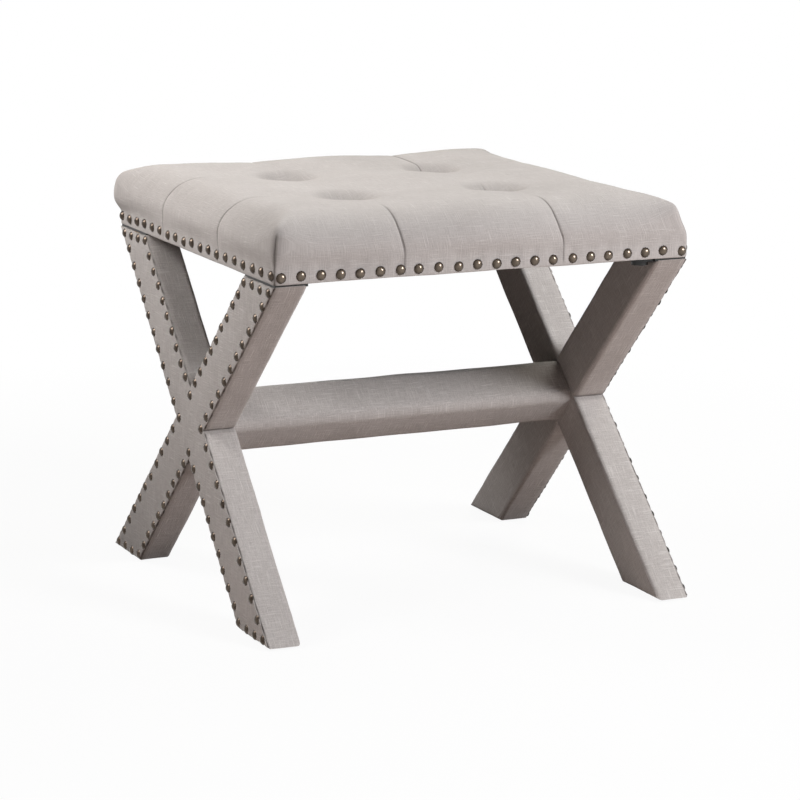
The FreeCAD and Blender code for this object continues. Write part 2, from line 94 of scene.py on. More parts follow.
linenWeave = {
    "thread": 0.0011,  # real threads are 0.6 mm apart; drawn coarser so that they show
    "threadRun": 0.014,
    "speck": 0.0013,
    "slub": 0.0012,  # thick places in the yarn
    "slubRun": 0.028,
    "mottle": 0.09,
    "level": 0.26,  # mean tone before the mottle, on the way from shade to body
    "threadShare": 0.26, "speckShare": 0.34, "mottleShare": 0.5, "slubShare": 0.27,
    "shade": "#AEA8A5",
    "body": "#CFCAC7",
    "light": "#E3DFDC",
    "fold": "#3A322E",  # painted shade: the cloth's tone deep in a shaded crease
}


def makeLinen(name, strength):  # woven linen, piece dyed: dry matt cloth, pale slubs running both ways
    s = linenWeave
    material, tree = newMaterial(name)
    uv = addNode(tree, "UVMap", {"uv_map": "cloth"}).outputs["UV"]

    def threads(across, along, turned, low, high, detail):
        scale = (1 / along, 1 / across, 1) if turned else (1 / across, 1 / along, 1)
        shift = (3.7, 8.1, 0) if turned else (0.4, 5.3, 0)
        mapped = addNode(tree, "Mapping", {"Scale": scale, "Location": shift}, {"Vector": uv})
        grain = addNode(tree, "TexNoise", {"noise_dimensions": "2D", "Scale": 1.0,
                        "Detail": detail, "Roughness": 0.55}, {"Vector": mapped.outputs["Vector"]})
        share = addNode(tree, "MapRange", {"From Min": low, "From Max": high},
                        {"Value": grain.outputs["Fac"]})
        return share.outputs["Result"]

    warp = threads(s["thread"], s["threadRun"], False, 0.25, 0.75, 2.0)
    weft = threads(s["thread"], s["threadRun"], True, 0.25, 0.75, 2.0)
    speck = threads(s["speck"], s["speck"], False, 0.25, 0.75, 2.0)
    slubWarp = threads(s["slub"], s["slubRun"], False, 0.70, 0.86, 0.0)
    slubWeft = threads(s["slub"], s["slubRun"], True, 0.69, 0.85, 0.0)
    cloth = addNode(tree, "Math", {"operation": "ADD"}, {0: warp, 1: weft})
    slubs = addNode(tree, "Math", {"operation": "MAXIMUM"}, {0: slubWarp, 1: slubWeft})
    mottle = addNode(tree, "TexNoise", {"noise_dimensions": "2D", "Scale": 1 / s["mottle"],
                     "Detail": 3.0}, {"Vector": uv})

    # threads, specks and mottle move the tone about its mean, and slubs and painted crease shade lie over it
    base = s["level"] - (s["threadShare"] + s["speckShare"] / 2) * strength
    woven = addNode(tree, "Math", {"operation": "MULTIPLY_ADD", 1: s["threadShare"] * strength,
                    2: base}, {0: cloth.outputs["Value"]})
    specked = addNode(tree, "Math", {"operation": "MULTIPLY_ADD", 1: s["speckShare"] * strength},
                      {0: speck, 2: woven.outputs["Value"]})
    tone = addNode(tree, "Math", {"operation": "MULTIPLY_ADD", 1: s["mottleShare"]},
                   {0: mottle.outputs["Fac"], 2: specked.outputs["Value"]})
    body = addNode(tree, "Mix", {"data_type": "RGBA", 6: linear(s["shade"]), 7: linear(s["body"])},
                   {0: tone.outputs["Value"]})
    slubShare = addNode(tree, "Math", {"operation": "MULTIPLY", 1: s["slubShare"] * strength},
                        {0: slubs.outputs["Value"]})
    streaked = addNode(tree, "Mix", {"data_type": "RGBA", 7: linear(s["light"])},
                       {0: slubShare.outputs["Value"], 6: body.outputs[2]})
    # painted shade: the cloth is mixed towards its fold colour where folds, tuft hollows and edges lie in
    # shade
    paintedShade = addNode(tree, "Attribute", {"attribute_name": "paintedShade"})
    shaded = addNode(tree, "Mix", {"data_type": "RGBA", 7: linear(s["fold"])},
                     {0: paintedShade.outputs["Fac"], 6: streaked.outputs[2]})
    height = addNode(tree, "Math", {"operation": "MULTIPLY_ADD", 1: 0.5},
                     {0: cloth.outputs["Value"], 2: slubs.outputs["Value"]})
    relief = addNode(tree, "Bump", {"Strength": 0.35, "Distance": 0.0006},
                     {"Height": height.outputs["Value"]})
    shader = addNode(tree, "BsdfPrincipled", {"Roughness": 0.9, "Specular IOR Level": 0.0,
                     "Sheen Weight": 0.12, "Sheen Roughness": 0.6},
                     {"Base Color": shaded.outputs[2], "Normal": relief.outputs["Normal"]})
    addNode(tree, "OutputMaterial", {}, {"Surface": shader.outputs["BSDF"]})
    return material


brass = {
    "blotch": 0.004, "blotchShare": 0.35,
    "dark": "#352D27",
    "rubbedAndLit": "#7C7064",
}


def makeAntiqueBrass():  # stamped brass, darkened and rubbed: brown in the hollows, paler on the crowns, partly from wear and partly painted reflection
    material, tree = newMaterial("antiqueBrass")
    where = addNode(tree, "TexCoord").outputs["Object"]
    blotch = addNode(tree, "TexNoise", {"Scale": 1 / brass["blotch"], "Detail": 3.0}, {"Vector": where})
    share = addNode(tree, "MapRange", {"From Min": 0.35, "From Max": 0.7},
                    {"Value": blotch.outputs["Fac"]})
    # rubbed wear and painted reflection, kept per nail point
    wearAndReflection = addNode(tree, "Attribute", {"attribute_name": "wearAndReflection"})
    rubbedAndLit = addNode(tree, "Math", {"operation": "MULTIPLY_ADD", 1: brass["blotchShare"]},
                     {0: share.outputs["Result"], 2: wearAndReflection.outputs["Fac"]})
    colour = addNode(tree, "Mix", {"data_type": "RGBA", 6: linear(brass["dark"]),
                     7: linear(brass["rubbedAndLit"])}, {0: rubbedAndLit.outputs["Value"]})
    rough = addNode(tree, "MapRange", {"From Min": 0.3, "From Max": 0.7, "To Min": 0.17,
                    "To Max": 0.28}, {"Value": blotch.outputs["Fac"]})
    relief = addNode(tree, "Bump", {"Strength": 0.2, "Distance": 0.0002},
                     {"Height": blotch.outputs["Fac"]})
    shader = addNode(tree, "BsdfPrincipled", {"Metallic": 1.0},
                     {"Base Color": colour.outputs[2], "Roughness": rough.outputs["Result"],
                      "Normal": relief.outputs["Normal"]})
    addNode(tree, "OutputMaterial", {}, {"Surface": shader.outputs["BSDF"]})
    return material


grainyFinishes = {  # dark tone, pale tone, grain size, its stretch along X, Y and Z, roughness, metallic
    # sawn poplar: dry and pale, streaked along its grain
    "sawnPoplarAlongX": ("#A88660", "#CDAF86", 0.004, (18, 1, 1), 0.7, 0.0),
    "sawnPoplarAlongY": ("#A88660", "#CDAF86", 0.004, (1, 18, 1), 0.7, 0.0),
    # birch plywood: yellower, with a long faint figure
    "birchPlywood": ("#B99A6E", "#D9BF95", 0.005, (14, 1, 1), 0.65, 0.0),
    # satin paint on steel: near black with a soft shine
    "blackSatinPaint": ("#0C0C0C", "#191817", 0.002, (1, 1, 1), 0.45, 0.0),
    # zinc plate: pale grey metal, faintly clouded
    "zincPlatedSteel": ("#8E8F8E", "#B9BAB8", 0.003, (1, 1, 1), 0.35, 1.0),
    # cambric: dull black cloth with fine threads one way
    "blackCambric": ("#0D0D0D", "#1E1D1C", 0.0012, (1, 6, 1), 0.95, 0.0),
    # waxed twine: cream, with a dull gloss
    "waxedTwine": ("#B9AE9A", "#DCD3C2", 0.002, (1, 1, 4), 0.75, 0.0),
    # moulded nylon: dark brown, half matt
    "brownNylon": ("#1C1613", "#2C231E", 0.003, (1, 1, 1), 0.5, 0.0),
}


def makeGrainy(name, dark, pale, size, stretch, roughness, metallic):  # a plain finish with a grain
    material, tree = newMaterial(name)
    where = addNode(tree, "TexCoord").outputs["Object"]
    scale = tuple(1 / (size * k) for k in stretch)
    mapped = addNode(tree, "Mapping", {"Scale": scale}, {"Vector": where})
    grain = addNode(tree, "TexNoise", {"Scale": 1.0, "Detail": 4.0, "Roughness": 0.6},
                    {"Vector": mapped.outputs["Vector"]})
    colour = addNode(tree, "Mix", {"data_type": "RGBA", 6: linear(dark), 7: linear(pale)},
                     {0: grain.outputs["Fac"]})
    rough = addNode(tree, "MapRange", {"To Min": roughness - 0.08, "To Max": roughness + 0.08},
                    {"Value": grain.outputs["Fac"]})
    relief = addNode(tree, "Bump", {"Strength": 0.15, "Distance": 0.0003},
                     {"Height": grain.outputs["Fac"]})
    shader = addNode(tree, "BsdfPrincipled", {"Metallic": metallic},
                     {"Base Color": colour.outputs[2], "Roughness": rough.outputs["Result"],
                      "Normal": relief.outputs["Normal"]})
    addNode(tree, "OutputMaterial", {}, {"Surface": shader.outputs["BSDF"]})
    return material


linen = makeLinen("slubLinen", 1.0)
legLinen = makeLinen("slubLinenOverWood", 1.7)  # thinly padded, so its threads stand out
antiqueBrass = makeAntiqueBrass()
grainy = {name: makeGrainy(name, *values) for name, values in grainyFinishes.items()}
print("finishes made")


# Hand tools


def startWith(add, **sizes):  # a primitive on its own, with everything else let go
    bpy.ops.object.select_all(action="DESELECT")
    add(**sizes)
    return bpy.context.object


def startGrid(name, nx, ny):  # a flat sheet of nx by ny cells, from -1 to 1 both ways
    grid = startWith(bpy.ops.mesh.primitive_grid_add, x_subdivisions=nx, y_subdivisions=ny, size=2)
    grid.name = name
    return grid


def takeUp(piece):
    bpy.ops.object.select_all(action="DESELECT")
    piece.select_set(True)
    bpy.context.view_layer.objects.active = piece


def openUp():  # into edit mode, with everything selected
    bpy.ops.object.mode_set(mode="EDIT")
    bpy.ops.mesh.select_all(action="SELECT")


def closeUp():
    bpy.ops.object.mode_set(mode="OBJECT")


def pick(piece, kind, test):  # select corners or edges, in edit mode
    bpy.ops.mesh.select_mode(type=kind)
    bpy.ops.mesh.select_all(action="DESELECT")
    sheet = bmesh.from_edit_mesh(piece.data)
    for part in {"VERT": sheet.verts, "EDGE": sheet.edges}[kind]:
        part.select = bool(test(part))
    sheet.select_flush_mode()
    bmesh.update_edit_mesh(piece.data)


def cutOff(height):  # take away what lies below, in one flat cut, and close it
    openUp()
    bpy.ops.mesh.bisect(plane_co=(0, 0, height), plane_no=(0, 0, 1), clear_inner=True, use_fill=True)
    closeUp()


def places(piece):
    flat = np.empty(len(piece.data.vertices) * 3)
    piece.data.vertices.foreach_get("co", flat)
    return flat.reshape(-1, 3)


def setPlaces(piece, points):
    piece.data.vertices.foreach_set("co", np.asarray(points, float).ravel())
    piece.data.update()


def normalsOf(piece):
    return np.array([v.normal for v in piece.data.vertices])


def applyModifier(piece, kind, **settings):
    takeUp(piece)
    modifier = piece.modifiers.new(kind.lower(), kind)
    for name, value in settings.items():
        setattr(modifier, name, value)
    bpy.ops.object.modifier_apply(modifier=modifier.name)


def ripple(piece, size, height, seed):  # slight unevenness of hand-stretched cloth
    points = places(piece)
    shift = [noise.noise(Vector(p) / size + Vector((seed, 0, 0))) for p in points]
    setPlaces(piece, points + normalsOf(piece) * (np.array(shift) * height)[:, None])


def squareNormals(piece):
    takeUp(piece)
    openUp()
    bpy.ops.mesh.normals_make_consistent(inside=False)
    closeUp()


def drawOut(piece, steps):  # a sheet drawn out into a body, one step along X after another
    openUp()
    for step in steps:
        bpy.ops.mesh.extrude_region_move(TRANSFORM_OT_translate={"value": (step, 0, 0)})
    closeUp()
    squareNormals(piece)


def smooth(piece, angle):
    takeUp(piece)
    bpy.ops.object.shade_smooth_by_angle(angle=math.radians(angle))


def clothMap(piece, directions):  # directions(face centre, face normal) gives the two thread directions
    layer = piece.data.uv_layers.new(name="cloth")
    points = places(piece)
    flat = np.empty(len(piece.data.loops) * 2)
    for face in piece.data.polygons:
        along, across = directions(face.center, face.normal)
        for loop in face.loop_indices:
            p = points[piece.data.loops[loop].vertex_index]
            flat[loop * 2] = p @ np.array(along)
            flat[loop * 2 + 1] = p @ np.array(across)
    layer.data.foreach_set("uv", flat)


# painted shade, kept per point for the linen to darken towards its fold colour
def setPaintedShade(piece, values):
    attribute = piece.data.attributes.new("paintedShade", "FLOAT", "POINT")
    attribute.data.foreach_set("value", np.clip(values, 0, 1).astype(np.float32))


def setCopies(name, model, moves):  # one piece, with a copy of the model at each move
    shape = [Vector(p) for p in places(model)]
    faces = [tuple(f.vertices) for f in model.data.polygons]
    bpy.data.objects.remove(model)
    mesh = bpy.data.meshes.new(name)
    mesh.from_pydata([move @ p for move in moves for p in shape], [],
                     [tuple(i + n * len(shape) for i in f) for n in range(len(moves)) for f in faces])
    piece = bpy.data.objects.new(name, mesh)
    bpy.context.collection.objects.link(piece)
    return piece


def finishPiece(piece, material, slot, *replaced):
    piece.data.materials.clear()
    piece.data.materials.append(material)
    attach(piece, "root")
    if replaced:
        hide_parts(*replaced)


def bump(distance, width):
    return np.exp(-(distance / width) ** 2)


def ease(x, low, high):
    t = np.clip((x - low) / (high - low), 0, 1)
    return t * t * (3 - 2 * t)


def nearest(u, v, spots):  # distance to the closest spot
    return np.min(np.hypot(u[:, None] - spots[:, 0], v[:, None] - spots[:, 1]), axis=1)


# Nails

nail = {
    "radius": 0.0057, "height": 0.0033,
    "crown": 0.0036,  # crown of a CAD head over its foot
    "crownFlat": 0.00004, "apart": 0.006,  # how a crown is told from its head and from the next crown
    "segments": 12, "rings": 11,
    "tilt": math.radians(4), "drift": 0.0006,  # hammered in by hand
    "sunk": 0.0003, "sunkFace": 0.0010,  # face nails are driven home through thin padding
    "rubbedAndLit": 0.14, "rubbedAndLitRow": 0.75,  # front and rear rows paler, side and face rows darker: painted reflection of a darker side of the room
    "grip": (0.007, 0.012),  # cloth lies shut within the first distance of a nail, free past the second
}
faceNormal = {name: Vector((side * math.cos(bench["lean"]), 0, math.sin(bench["lean"])))
              for name, side in frameSides.items()}
nailNodes = {
    "seat_front_nails": Vector((0, -1, 0)),
    "seat_rear_nails": Vector((0, 1, 0)),
    "seat_left_nails": Vector((-1, 0, 0)),
    "seat_right_nails": Vector((1, 0, 0)),
    "left_face_nails": faceNormal["left"],
    "right_face_nails": faceNormal["right"],
}


def nailSeats(node):  # foot of each head, found from the crowns of the CAD nails
    normal = nailNodes[node]
    points = places(nodes[node])
    out = points @ np.array(normal)
    found = []
    for p in points[out > out.max() - nail["crownFlat"]]:
        if all(np.linalg.norm(p - q) > nail["apart"] for q in found):
            found.append(p)
    return [Vector(p) - normal * nail["crown"] for p in found]


def nailHead():  # a ball cut off so that its cap has the head's radius and height
    ball = (nail["radius"] ** 2 + nail["height"] ** 2) / (2 * nail["height"])
    head = startWith(bpy.ops.mesh.primitive_uv_sphere_add, segments=nail["segments"],
                     ring_count=nail["rings"], radius=ball, location=(0, 0, nail["height"] - ball))
    bpy.ops.object.transform_apply(location=True, rotation=True, scale=True)
    cutOff(0)
    return head


def makeNails():
    chance = random.Random(11)
    for node, normal in nailNodes.items():
        turn = normal.to_track_quat("Z", "Y").to_matrix()
        deep = nail["sunkFace"] if "face" in node else nail["sunk"]
        moves = []
        for seat in nailSeats(node):
            tiltX, tiltY = (chance.uniform(-nail["tilt"], nail["tilt"]) for axis in "XY")
            driftX, driftY = (chance.gauss(0, nail["drift"]) for axis in "XY")
            tilt = Matrix.Rotation(tiltX, 3, "X") @ Matrix.Rotation(tiltY, 3, "Y")
            foot = seat + turn @ Vector((driftX, driftY, -deep))
            moves.append(Matrix.Translation(foot) @ (turn @ tilt).to_4x4())
        head = nailHead()
        rubbedAndLit = nail["rubbedAndLitRow"] if abs(normal.y) > 0.5 else nail["rubbedAndLit"]
        bright = (places(head)[:, 2] / nail["height"]) ** 2 * rubbedAndLit  # paler towards the crown, dark at the foot: rubbed wear and painted reflection
        row = setCopies(node + "_row", head, moves)
        wearAndReflection = row.data.attributes.new("wearAndReflection", "FLOAT", "POINT")
        wearAndReflection.data.foreach_set("value", np.tile(bright, len(moves)))
        smooth(row, 40)
        finishPiece(row, antiqueBrass, "antique_brass", node)
        print(node, len(moves), "nails,", len(row.data.polygons) // len(moves), "faces each")


# X frames

crossCloth = {
    "across": 10, "along": 34,
    "bunching": 1.5,  # rows lie closer towards the crossing
    "depthRows": (0.2, 0.3, 0.3, 0.2),
    "roundInner": (0.005, 4), "roundOuter": (0.0018, 2),  # radius, segments
    "flush": 0.0002, "sharp": 0.9,  # edges this near a face and turned this far are rounded
    "faceDepth": 0.0014,  # the wrap's turned edge, under the face panel
    "topLap": 0.0011, "footLap": 0.0004,  # cloth turned over the sawn ends
    "turnIn": 0.0018, "turnInWidth": 0.0030,  # where two arms meet, their cloths are turned in
    "turnInLine": 0.0013, "turnInShade": 0.6,
    "tuck": 0.0024, "tuckLine": 0.0008, "tuckShade": 0.25,  # second fold line below the crossing
    "tuckEdge": (0.006, 0.003), "tuckReach": 0.012,
    "underPanel": (0.0018, 0.0032), "underPanelShade": (0.25, 0.80),  # painted shade line beside the panel
    "ripples": ((0.05, 0.0006, 3.1), (0.014, 0.00022, 7.7)),  # size, height, seed
}
facePanel = {
    "across": 12, "along": 46, "bunching": 1.0,
    "inset": 0.0006, "scallop": 0.0013, "scallopWidth": 0.010, "scallopGap": 0.006,  # drawn in at each nail
    "dimple": 0.0008, "dimpleWidth": 0.008,
    "edgeRound": 0.0007,
    "edgeLine": (0.0002, 0.0012), "edgeShade": (0.4, 0.9),
    "faceShare": 0.7,  # of its thickness, drawn in under the nails
    "ripple": (0.030, 0.0005, 5.3),
}


def plusGrid(name, across, along):  # a square for the crossing, its four sides drawn out into arms
    piece = startGrid(name, across, across)
    openUp()
    for axis, sign in ((0, 1), (0, -1), (1, 1), (1, -1)):
        pick(piece, "VERT", lambda v: v.co[axis] * sign > 0.999 and abs(v.co[1 - axis]) < 1.001)
        step = [0, 0, 0]
        step[axis] = sign
        for i in range(along):
            bpy.ops.mesh.extrude_edges_move(TRANSFORM_OT_translate={"value": step})
    closeUp()
    return piece


def crossPlace(a, b, shape, inset):  # from the plus to the X: Y, Z and how far along its arm
    slim = 1 - inset / (waistY / math.sqrt(1 + legSlope ** 2))
    useB = np.abs(b) > np.abs(a)
    main = np.where(useB, b, a)
    side = np.where(useB, a, b)
    sign = np.where(main < 0, -1.0, 1.0)
    t = np.clip((np.abs(main) - 1) / shape["along"], 0, 1) ** shape["bunching"]
    m = np.minimum(np.abs(main), 1.0)
    s = side * sign  # -1 on the outer side of an arm, 1 on the crotch side
    rootY = (m - s) / 2 * waistY * slim
    rootZ = (m + s) / 2 * waistZ * slim
    reach = np.where(sign > 0, bench["halfDepth"], footReach)
    rise = np.where(sign > 0, bench["legTop"] - crossZ, crossZ - bench["footBottom"])
    endY = reach - waistY - s * waistY * slim - inset * legSlope
    endZ = rise - inset
    y = rootY + (endY - rootY) * t
    z = rootZ + (endZ - rootZ) * t
    return np.where(useB, -y, y) * sign, crossZ + z * sign, t


def outerFace(z):  # how far out the outer face of an X frame is at this height
    return bench["halfLength"] + math.tan(bench["lean"]) * (bench["legTop"] - z)


def leaning(side, y, z, depth):  # a point of an X frame, depth in from its outer face
    return np.stack([side * (outerFace(z) - depth), y, z], axis=-1)


def depthIn(side, points):
    return outerFace(points[:, 2]) - points[:, 0] * side


def faceSeats(sideName):
    return np.array([[q.y, q.z] for q in nailSeats(sideName + "_face_nails")])


def brokenShade(near, shades):  # of a painted shade line, at a nail and between nails
    atNail, between = shades
    return atNail + (between - atNail) * ease(near, *nail["grip"])


def armDirections(centre, normal):  # cloth runs along each arm, on its faces and round its sides
    forward = 1 if centre.y * (centre.z - crossZ) > 0 else -1
    rising = Vector((0, legSlope * forward, 1)).normalized()
    crosswise = Vector((0, rising.z, -rising.y))
    if abs(normal.x) > 0.7:
        return crosswise, rising
    if abs(normal.z) > 0.9:
        return Vector((1, 0, 0)), Vector((0, 1, 0))
    return Vector((1, 0, 0)) + crosswise * 0.3, rising


def squareDirections(centre, normal):  # cloth cut with its threads level and upright
    if abs(normal.x) > 0.5:
        return Vector((0, 1, 0)), Vector((0, 0, 1))
    return Vector((1, 0, 0)), Vector((0, 0.7, 0.7))


def roundFrameEdges(wrap, side, depth, radius, segments):
    def atDepth(edge):
        gaps = [v.co.x * side - outerFace(v.co.z) + depth for v in edge.verts]
        return all(abs(gap) < crossCloth["flush"] for gap in gaps)

    def turned(edge):
        faces = edge.link_faces
        return len(faces) == 2 and faces[0].normal.angle(faces[1].normal, 0) > crossCloth["sharp"]

    openUp()
    pick(wrap, "EDGE", lambda edge: turned(edge) and atDepth(edge))
    bpy.ops.mesh.bevel(offset=radius, segments=segments, profile=0.5, affect="EDGES")
    closeUp()


def makeFrameWrap(sideName, side):
    s = crossCloth
    wrap = plusGrid(sideName + "_wrap", s["across"], s["along"])
    y, z, t = crossPlace(*places(wrap)[:, :2].T, s, 0.0)
    z = z + (t > 0.999) * np.where(z > crossZ, s["topLap"], -s["footLap"])
    setPlaces(wrap, leaning(side, y, z, bench["legThick"]))
    thick = bench["legThick"] - s["faceDepth"]
    drawOut(wrap, [side * thick * part for part in s["depthRows"]])
    # soft rounding along the inner face, a tighter one along the outer
    roundFrameEdges(wrap, side, bench["legThick"], *s["roundInner"])
    roundFrameEdges(wrap, side, s["faceDepth"], *s["roundOuter"])

    # the crossing's corners, turned in, and painted shade in the folds
    points = places(wrap)
    dy, dz = points[:, 1], points[:, 2] - crossZ
    corner = np.minimum(np.hypot(np.abs(dy) - waistY, dz), np.hypot(dy, np.abs(dz) - waistZ))
    inward = np.stack([np.zeros_like(dy), -np.sign(dy) * (np.abs(dy) > np.abs(dz)),
                       -np.sign(dz) * (np.abs(dz) >= np.abs(dy))], axis=-1)
    points = points + inward * (bump(corner, s["turnInWidth"]) * s["turnIn"])[:, None]
    setPlaces(wrap, points)
    onEdge = ease(np.abs(dy), *(waistY - d for d in s["tuckEdge"])) * (np.abs(dz) < s["tuckReach"])
    tuck = bump(dz + s["tuck"], s["tuckLine"]) * onEdge
    near = nearest(points[:, 1], points[:, 2], faceSeats(sideName))
    # painted shade line where the wrap runs in under the face panel, paler at each nail
    underPanel = 1 - ease(depthIn(side, points), *s["underPanel"])
    underPanel = underPanel * brokenShade(near, s["underPanelShade"])
    # painted shade where the arms' cloths turn in and along the tuck below the crossing
    turnedIn = bump(corner, s["turnInLine"]) * s["turnInShade"] + tuck * s["tuckShade"]
    setPaintedShade(wrap, np.maximum(turnedIn, underPanel))

    for size, height, seed in s["ripples"]:
        ripple(wrap, size, height, seed + side)
    clothMap(wrap, armDirections)
    smooth(wrap, 35)
    finishPiece(wrap, legLinen, "linen", sideName + "_frame_wrap")
    print(wrap.name, len(wrap.data.polygons), "faces")


def makeFacePanel(sideName, side):
    s = facePanel
    panel = plusGrid(sideName + "_panel", s["across"], s["along"])
    grid = places(panel)[:, :2].T
    seats = faceSeats(sideName)
    y, z, t = crossPlace(*grid, s, s["inset"])
    near = nearest(y, z, seats)
    scallop = s["scallop"] * bump(near, s["scallopWidth"]) * (near > s["scallopGap"])
    y, z, t = crossPlace(*grid, s, s["inset"] + scallop)
    z = z + (t > 0.999) * np.where(z > crossZ, crossCloth["topLap"], 0)
    setPlaces(panel, leaning(side, y, z, bench["panelThick"]))
    drawOut(panel, [side * bench["panelThick"]])
    applyModifier(panel, "BEVEL", width=s["edgeRound"], segments=2, limit_method="ANGLE",
                  angle_limit=math.radians(50))

    # dimples under the nails, and painted shade along the edge, broken at each nail
    points = places(panel)
    depth = depthIn(side, points)
    near = nearest(points[:, 1], points[:, 2], seats)
    onFace = depth < bench["panelThick"] * s["faceShare"]
    points[:, 0] -= side * bump(near, s["dimpleWidth"]) * s["dimple"] * onFace
    setPlaces(panel, points)
    setPaintedShade(panel, ease(depth, *s["edgeLine"]) * brokenShade(near, s["edgeShade"]))
    size, height, seed = s["ripple"]
    ripple(panel, size, height, seed + side)
    clothMap(panel, squareDirections)
    smooth(panel, 40)
    finishPiece(panel, legLinen, "linen", sideName + "_face_panel")
    print(panel.name, len(panel.data.polygons), "faces")


# Stretcher

stretcher = {
    "margin": 0.0014,  # its sides set in from the sides of the crossing
    "round": 0.0125, "roundSegments": 7,
    "cuts": 60,
    "sink": 0.0003,  # into the cloth of the X frames
    "ripple": (0.06, 0.0009, 1.4),
}


def barDirections(centre, normal):  # threads along the bar and round it
    if abs(normal.x) < 0.9:
        return Vector((1, 0, 0)), Vector((0, -normal.z, normal.y)).normalized()
    return Vector((1, 0, 0)), Vector((0, 1, 0))


def makeStretcher():
    s = stretcher
    inner = bench["halfLength"] - bench["legThick"]
    half = waistY - s["margin"] * math.sqrt(1 + legSlope ** 2)

    def lengthwise(edge):
        return abs(edge.verts[0].co.x - edge.verts[1].co.x) > inner

    bar = startWith(bpy.ops.mesh.primitive_cylinder_add, vertices=4, radius=half, depth=inner * 2,
                    rotation=(0, math.pi / 2, 0), location=(0, 0, crossZ))
    bar.name = "stretcher_cloth"
    bpy.ops.object.transform_apply(location=True, rotation=True, scale=True)
    openUp()
    pick(bar, "EDGE", lengthwise)
    bpy.ops.mesh.bevel(offset=s["round"], segments=s["roundSegments"], profile=0.5, affect="EDGES")
    pick(bar, "EDGE", lengthwise)
    bpy.ops.mesh.subdivide(number_cuts=s["cuts"])
    closeUp()
    points = places(bar)
    points[:, 0] *= (outerFace(points[:, 2]) - bench["legThick"] + s["sink"]) / inner
    points[:, 2] = crossZ + (points[:, 2] - crossZ) / legSlope
    setPlaces(bar, points)
    squareNormals(bar)
    ripple(bar, *s["ripple"])
    clothMap(bar, barDirections)
    smooth(bar, 40)
    finishPiece(bar, legLinen, "linen", "stretcher_cover")
    print(bar.name, len(bar.data.polygons), "faces")


# Seat

pad = {
    "cell": 0.0054, "evenFrom": 0.0265,  # even grid lines, from this far in
    "edgeLines": (0.0, 0.0012, 0.0028, 0.0050, 0.0080, 0.0120, 0.0165, 0.0215),  # closer, in from the edge
    "foldLines": (0.0006, 0.0014, 0.0030, 0.0055), "foldGap": 0.0075,  # and on both sides of a pleat
    "sideRows": 6, "runSteps": 4000,
    "shoulder": 0.050, "shoulderFall": 0.037,  # the roll from the top over into the sides
    "edgeTop": 0.4519,
    "squareness": 2.1, "blend": 5,  # 2 is an ellipse; how two rolls meet in a corner
    "crown": 0.0012,
    "padSwell": 0.0022,  # each of the nine pads over the lines between them
    "flatEnd": 0.75, "flatFrom": (0.11, 0.19),  # the right end is stretched flat
    "fullX": 0.180, "fullY": 0.195,  # the rear right pad is stuffed fullest
    "fullRise": 0.0025, "fullWidth": 0.036,
    "swell": {"left": 0.0012, "right": 0.0006, "front": 0.0008, "rear": 0.0016},  # sides past the nail band
    "swellReach": 0.03, "swellTop": 0.75,  # distance in, share of the height
    "rearLeftSwell": 0.0042,  # this corner bellies out just above the nails
    "rearLeftFull": (0, 0.18), "rearLeftFade": (0.4, 0.95), "rearLeftLoss": 0.8,
    "band": 0.0150,  # its top over the underside
    # nail band and hem, row by row: height over the underside, distance in
    "hemRows": ((0.0115, 0), (0.0070, 0), (-0.0003, 0.0001), (-0.0008, 0.0009), (0.0002, 0.0022),
                (0.0003, 0.019)),
    "bandRun": 0.015,  # cloth from the shoulder down to the nail band
    "cornerRoll": 0.009, "cornerFall": 0.0105,  # corners are stuffed hard, so the roll is tight there
    "cornerDrop": 0.0095, "rearRightDrop": 0.0044,
    "cornerReach": 0.032,
    "cornerRound": 0.008, "bandRound": 0.6, "roundOver": (0, 0.02),  # share at the band, heights to full
    "rearRightRound": 0.014, "rearRightOver": (0.002, 0.02),  # added over the rails
    "cornerLean": {"front left": 0.0035, "front right": 0.0005, "rear right": 0.0030}, "leanY": 0.4,
    "sitsLeft": 0.0050, "leftReach": 0.08, "rightLean": 0.0060,  # the stuffing is a little off centre
    "clearOfRails": (-0.002, 0.018), "clearOfBand": (0.002, 0.018),  # heights over which cloth moves freely
    "tuftX": 0.090, "tuftY": 0.082,
    "tuftDepth": 0.0212, "tuftWidth": 0.034, "tuftRound": 0.010,  # an even slope down to each button
    "dishDepth": 0.0050, "dishWidth": 0.055,  # the wider hollow round a tuft
    "tuftShade": 0.33, "shadeBack": 0.010, "shadeReach": (0.014, 0.042),  # painted shade in and behind each tuft's hollow
    "bandPinch": 0.0010, "pinchWidth": 0.006, "pinchFull": 0.004, "pinchFade": 0.012,  # under each nail
    "dart": 0.0008, "dartTop": 0.435, "dartLine": 0.0007, "dartReach": 0.010,  # the sewn corners
    "dartFade": (-0.004, 0.001), "hemFade": 0.004,
    "foldShade": 0.6, "dartShade": 0.48,
    "ripples": ((0.075, 0.0008, 2.2), (0.022, 0.0003, 9.1)),
    "railTop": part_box("seat_right_rail")[1].z,
}
pleat = {
    "valley": 0.0006, "valleyWidth": 0.009, "grows": 0.05,  # deepens over this length, out from its tuft
    "fold": 0.0013, "foldWidth": 0.0011, "lineWidth": 0.0008,
    "opens": (0.010, 0.028),  # a fold opens out towards its tuft
    "shuts": (0.078, 0.125),  # all but one are shut only over the shoulder
    "saddle": 0.0010, "saddleWidth": 0.022,  # the dip from tuft to tuft
    "shortFrom": (0.012, 0.018), "shortTo": (0.026, 0.042),  # short folds run back from the front tufts
    "shortLeft": 0.5, "shortShade": 0.8,
    "drift": {"front": -0.0050, "left": 0.0060},  # feet of these pleats stray, along X and along Y
    "driftFrom": 0.03, "driftTo": 0.15, "driftWidth": 0.030,
}


